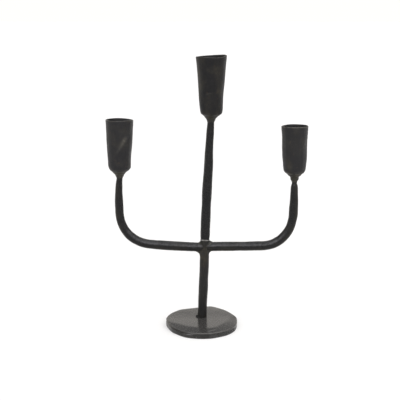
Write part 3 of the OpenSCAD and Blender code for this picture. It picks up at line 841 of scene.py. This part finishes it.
def blackened_bloom():
    """Colour of blackened iron: near-black, with olive-brown bloom where broad noise is high or the
    piece's stain mark is set, a few rust specks, and a fine pale speckle of dry wax. On the plate
    the olive is darker than the black, and the stain mark there paints shade on the wall."""
    tree, given, out = group(
        "Blackened bloom",
        [("Black", "NodeSocketColor", (0.02, 0.02, 0.02, 1)),
         ("Olive", "NodeSocketColor", (0.03, 0.03, 0.02, 1)),
         ("Rust", "NodeSocketColor", (0.06, 0.03, 0.015, 1)), ("Bloom", "NodeSocketFloat", 0.5),
         ("Stain", "NodeSocketFloat", 0.0), ("Speckle", "NodeSocketFloat", 0.2)],
        [("Color", "NodeSocketColor"), ("Bloom", "NodeSocketFloat")])
    broad = ramp(tree, noise(tree, 95, 4, 0.6), 0.42, 0.68)
    bloom = sums(tree, "MULTIPLY", broad, given.outputs["Bloom"])
    stain = sums(tree, "MULTIPLY", given.outputs["Stain"], sums(tree, "ADD", 0.5, broad))
    bloom = sums(tree, "ADD", bloom, stain, True)
    colour = mix(tree, bloom, given.outputs["Black"], given.outputs["Olive"])
    specks = ramp(tree, noise(tree, 420, 2, 0.5), 0.68, 0.76)
    colour = mix(tree, sums(tree, "MULTIPLY", specks, 0.5), colour, given.outputs["Rust"])
    fine = ramp(tree, noise(tree, 1500, 3, 0.65), 0.52, 0.78)
    speckle = sums(tree, "MULTIPLY", fine, given.outputs["Speckle"])
    colour = mix(tree, speckle, colour, DRY_WAX)
    tree.links.new(colour, out.inputs["Color"])
    tree.links.new(bloom, out.inputs["Bloom"])
    return tree


def hammered_skin():
    """Height of a forged skin: shallow hammer marks (smooth cells, with their borders bent by
    noise), scale pits and fine grain. Pits is 1 inside a pit."""
    tree, given, out = group(
        "Hammered skin",
        [("Marks", "NodeSocketFloat", 1.0), ("Pits", "NodeSocketFloat", 1.0),
         ("Grain", "NodeSocketFloat", 1.0)],
        [("Height", "NodeSocketFloat"), ("Pits", "NodeSocketFloat")])
    place = node(tree, "ShaderNodeTexCoord").outputs["Object"]
    bend = node(tree, "ShaderNodeTexNoise", {"Vector": place, "Scale": 160.0, "Detail": 2.0})
    bend = bend.outputs["Color"]
    shift = node(tree, "ShaderNodeVectorMath", {0: bend, 1: (0.004, 0.004, 0.004)}, operation="MULTIPLY")
    place = node(tree, "ShaderNodeVectorMath", {0: place, 1: shift.outputs[0]}, operation="ADD").outputs[0]
    cells = node(tree, "ShaderNodeTexVoronoi", {"Vector": place, "Scale": 210.0, "Smoothness": 0.7},
                 feature="SMOOTH_F1").outputs["Distance"]
    marks = sums(tree, "MULTIPLY", cells, given.outputs["Marks"])
    hollow = ramp(tree, noise(tree, 620, 4, 0.7), 0.36, 0.52)
    pits = sums(tree, "MULTIPLY", hollow, given.outputs["Pits"])
    fine = sums(tree, "MULTIPLY", noise(tree, 2600, 3, 0.7), given.outputs["Grain"])
    tree.links.new(sums(tree, "ADD", sums(tree, "ADD", marks, pits), fine), out.inputs["Height"])
    tree.links.new(sums(tree, "SUBTRACT", 1.0, hollow), out.inputs["Pits"])
    return tree


def edge_wear_and_highlight():
    """Where an edge is painted pale, for wear and on some pieces as a painted highlight: the piece's
    own edge mark, broken up by noise that takes away up to six tenths of it."""
    tree, given, out = group(
        "Edge wear and painted highlight", [("Edge", "NodeSocketFloat", 0.0), ("Amount", "NodeSocketFloat", 1.0)],
        [("Mask", "NodeSocketFloat")])
    broken = ramp(tree, noise(tree, 330, 3, 0.6), 0.35, 0.62)
    broken = sums(tree, "ADD", 0.4, sums(tree, "MULTIPLY", broken, 0.6))
    edge = sums(tree, "MULTIPLY", given.outputs["Edge"], broken)
    mask = sums(tree, "MULTIPLY", edge, given.outputs["Amount"], True)
    tree.links.new(mask, out.inputs["Mask"])
    return tree


BLOOM, SKIN, EDGE = blackened_bloom(), hammered_skin(), edge_wear_and_highlight()


def iron(name, black, olive, rust, bright, bloom, speckle, rough, sheen, marks, pits, grain, depth, wear_and_highlight_amount):
    """A forged iron finish: the bloom's colour, paler where the edge mark is set (worn edges, and on
    some pieces painted highlights), a roughness that rises in pits and bloom and falls there, and the
    hammered skin as a bump of that depth."""
    material = bpy.data.materials.new(name)
    material.use_nodes = True
    tree = material.node_tree
    tree.nodes.clear()
    edge_mark = node(tree, "ShaderNodeAttribute", attribute_name="edge").outputs["Fac"]
    stain_mark = node(tree, "ShaderNodeAttribute", attribute_name="bloom").outputs["Fac"]
    colour = node(tree, "ShaderNodeGroup", node_tree=BLOOM)
    skin_marks = node(tree, "ShaderNodeGroup", node_tree=SKIN)
    edge = node(tree, "ShaderNodeGroup", node_tree=EDGE)
    settings = {
        colour: {"Black": (*black, 1), "Olive": (*olive, 1), "Rust": (*rust, 1), "Bloom": bloom,
                 "Speckle": speckle},
        skin_marks: {"Marks": marks, "Pits": pits, "Grain": grain},
        edge: {"Amount": wear_and_highlight_amount},
    }
    for shared, values in settings.items():
        for key, value in values.items():
            shared.inputs[key].default_value = value
    tree.links.new(edge_mark, edge.inputs["Edge"])
    tree.links.new(stain_mark, colour.inputs["Stain"])
    pitted, worn_and_highlighted = skin_marks.outputs["Pits"], edge.outputs["Mask"]
    paint = mix(tree, sums(tree, "MULTIPLY", pitted, 0.35), colour.outputs["Color"], PIT_SCALE)
    # The edge mark paints the pale colour: wear, and painted highlights on the post, arms, welds, cups and
    # plate rim.
    paint = mix(tree, worn_and_highlighted, paint, (*bright, 1))
    matt = sums(tree, "ADD", rough, sums(tree, "MULTIPLY", colour.outputs["Bloom"], 0.12))
    matt = sums(tree, "ADD", matt, sums(tree, "MULTIPLY", pitted, 0.15))
    matt = sums(tree, "SUBTRACT", matt, sums(tree, "MULTIPLY", worn_and_highlighted, 0.12), True)
    bump = node(tree, "ShaderNodeBump", {"Strength": 1.0, "Distance": depth,
                                         "Height": skin_marks.outputs["Height"]})
    shader = node(tree, "ShaderNodeBsdfPrincipled", {"Base Color": paint, "Roughness": matt,
                                                     "Specular IOR Level": sheen, "Normal": bump.outputs[0]})
    out = node(tree, "ShaderNodeOutputMaterial")
    tree.links.new(shader.outputs[0], out.inputs[0])
    return material


def cup_iron(side):
    """The cups' iron. Their tones differ a little, as each was blackened by itself."""
    tone = CUPS[side]["tone"]
    # The cups' pale edge colour paints the rim and the highlight patches.
    return iron(
        f"blackened cup iron {side}", black=(0.0052 * tone, 0.005 * tone, 0.0062 * tone),
        olive=(0.028, 0.0245, 0.0165), rust=(0.05, 0.026, 0.013), bright=(0.16, 0.15, 0.125),
        bloom=0.26, speckle=0.12, rough=0.40, sheen=0.265 * tone,
        marks=0.5, pits=0.3, grain=0.25, depth=0.0003, wear_and_highlight_amount=0.3)


# The bars' pale edge colour paints the highlight band along the arms.
bar_iron = iron(
    "blackened bar iron", black=(0.0032, 0.0032, 0.0036), olive=(0.018, 0.0155, 0.010),
    rust=(0.04, 0.024, 0.012), bright=(0.16, 0.16, 0.17), bloom=0.25, speckle=0.06,
    rough=0.27, sheen=0.21, marks=0.5, pits=0.35, grain=0.25, depth=0.0004, wear_and_highlight_amount=0.6)
# The post's pale edge colour is the painted highlight on the shoulder's corner.
post_iron = iron(
    "blackened post iron", black=(0.0042, 0.0042, 0.0042), olive=(0.028, 0.0225, 0.011),
    rust=(0.05, 0.028, 0.01), bright=(0.45, 0.44, 0.42), bloom=0.18, speckle=0.08,
    rough=0.36, sheen=0.245, marks=0.5, pits=0.35, grain=0.25, depth=0.0004, wear_and_highlight_amount=0.9)
# The weld's pale edge colour paints the highlight spot on each arm's weld.
weld_iron = iron(
    "blackened weld metal", black=(0.009, 0.0088, 0.0084), olive=(0.030, 0.027, 0.0185),
    rust=(0.05, 0.03, 0.013), bright=(0.3, 0.28, 0.22), bloom=0.4, speckle=0.12,
    rough=0.40, sheen=0.26, marks=0.3, pits=0.5, grain=0.3, depth=0.0004, wear_and_highlight_amount=1.0)
# The plate's olive is near-black, so its bloom mark paints shade on the wall; its pale edge colour is a
# little wear and a painted highlight on the rim.
plate_iron = iron(
    "waxed plate iron", black=(0.032, 0.031, 0.0295), olive=(0.004, 0.0035, 0.0027),
    rust=(0.04, 0.028, 0.02), bright=(0.2, 0.19, 0.17), bloom=0.08, speckle=0.12,
    rough=0.16, sheen=0.42, marks=0.3, pits=0.3, grain=0.1, depth=0.00003, wear_and_highlight_amount=0.12)

# ---------------------------------------------------------------- the pieces on the frame

fitted(base_plate(), plate_iron, "base_plate", "base")
fitted(post_bar(), post_iron, "bars", "post")
fitted(spindle_bar(), bar_iron, "bars", "spindle")
for side in ARMS:
    fitted(arm_bar(side), bar_iron, "bars", f"arm_{side}")
    fitted(arm_fillet(side), weld_iron, "welds", f"arm_weld_{side}")
for side in CUPS:
    fitted(cup(side), cup_iron(side), "cups", f"cup_{side}")
    fitted(neck_weld(side), weld_iron, "welds", f"neck_weld_{side}")
fitted(foot_tack(), bar_iron, "welds", "foot_weld")

# ---------------------------------------------------------------- floor, light and camera


def floor():
    """A wide pale floor, level with the underside of the plate. It glows a little, so that it stays
    even out to the horizon."""
    mesh = bpy.data.meshes.new("pale_floor")
    half = 30.0
    corner_points = [(-half, -half, 0), (half, -half, 0), (half, half, 0), (-half, half, 0)]
    mesh.from_pydata(corner_points, [], [(0, 1, 2, 3)])
    paint = bpy.data.materials.new("pale floor")
    paint.use_nodes = True
    shader = paint.node_tree.nodes["Principled BSDF"]
    shader.inputs["Base Color"].default_value = (0.36, 0.358, 0.355, 1)
    shader.inputs["Emission Color"].default_value = (1, 0.995, 0.985, 1)
    shader.inputs["Emission Strength"].default_value = 0.44
    shader.inputs["Roughness"].default_value = 0.9
    shader.inputs["Specular IOR Level"].default_value = 0.0
    mesh.materials.append(paint)
    ground = bpy.data.objects.new("pale_floor", mesh)
    bpy.context.collection.objects.link(ground)


def daylight():
    """White surroundings that are brightest up to about 22 degrees above the horizon, as in a paper
    sweep, a bright soft panel in front at 22 to 50 degrees, and one broad light from overhead. The
    ramps take the sine of the height and, for the panel, how far forward the direction points."""
    world = bpy.data.worlds.new("white surroundings")
    world.use_nodes = True
    tree = world.node_tree
    back = tree.nodes["Background"]
    aim = node(tree, "ShaderNodeSeparateXYZ", {0: node(tree, "ShaderNodeTexCoord").outputs["Generated"]})
    height = aim.outputs[2]
    tone = mix(tree, ramp(tree, height, 0.37, 0.48), (1.1, 1.05, 0.985, 1), (0.19, 0.195, 0.21, 1))
    tone = mix(tree, ramp(tree, height, 0.62, 0.85), tone, (0.45, 0.45, 0.455, 1))
    forward = ramp(tree, sums(tree, "MULTIPLY", aim.outputs[1], -1.0), 0.2, 0.45)
    top = sums(tree, "SUBTRACT", 1.0, ramp(tree, height, 0.66, 0.8))
    panel = sums(tree, "MULTIPLY", sums(tree, "MULTIPLY", ramp(tree, height, 0.38, 0.5), top), forward)
    tone = mix(tree, panel, tone, (5.6, 5.6, 5.8, 1))
    tree.links.new(tone, back.inputs["Color"])
    bpy.context.scene.world = world
    sun = bpy.data.lights.new("broad soft light", "SUN")
    sun.energy = 2.1
    sun.angle = math.radians(70)
    sun.color = (1.0, 0.99, 0.975)
    lamp = bpy.data.objects.new("broad soft light", sun)
    lamp.rotation_euler = (math.radians(-8), math.radians(14), 0)
    bpy.context.collection.objects.link(lamp)


def camera():
    """The camera in front, a little above the cups, looking down at the stand. Metres and degrees."""
    lens = bpy.data.cameras.new("camera")
    lens.lens, lens.sensor_width, lens.sensor_fit = 76.14, 36.0, "HORIZONTAL"
    lens.clip_start, lens.clip_end = 0.05, 100.0
    eye = bpy.data.objects.new("camera", lens)
    eye.location = (-0.00203, -0.9346, 0.35846)
    eye.rotation_euler = (math.radians(77.46), 0, 0)
    bpy.context.collection.objects.link(eye)
    bpy.context.scene.camera = eye


floor()
daylight()
camera()
bpy.context.scene.view_settings.view_transform = "Standard"
bpy.context.view_layer.update()
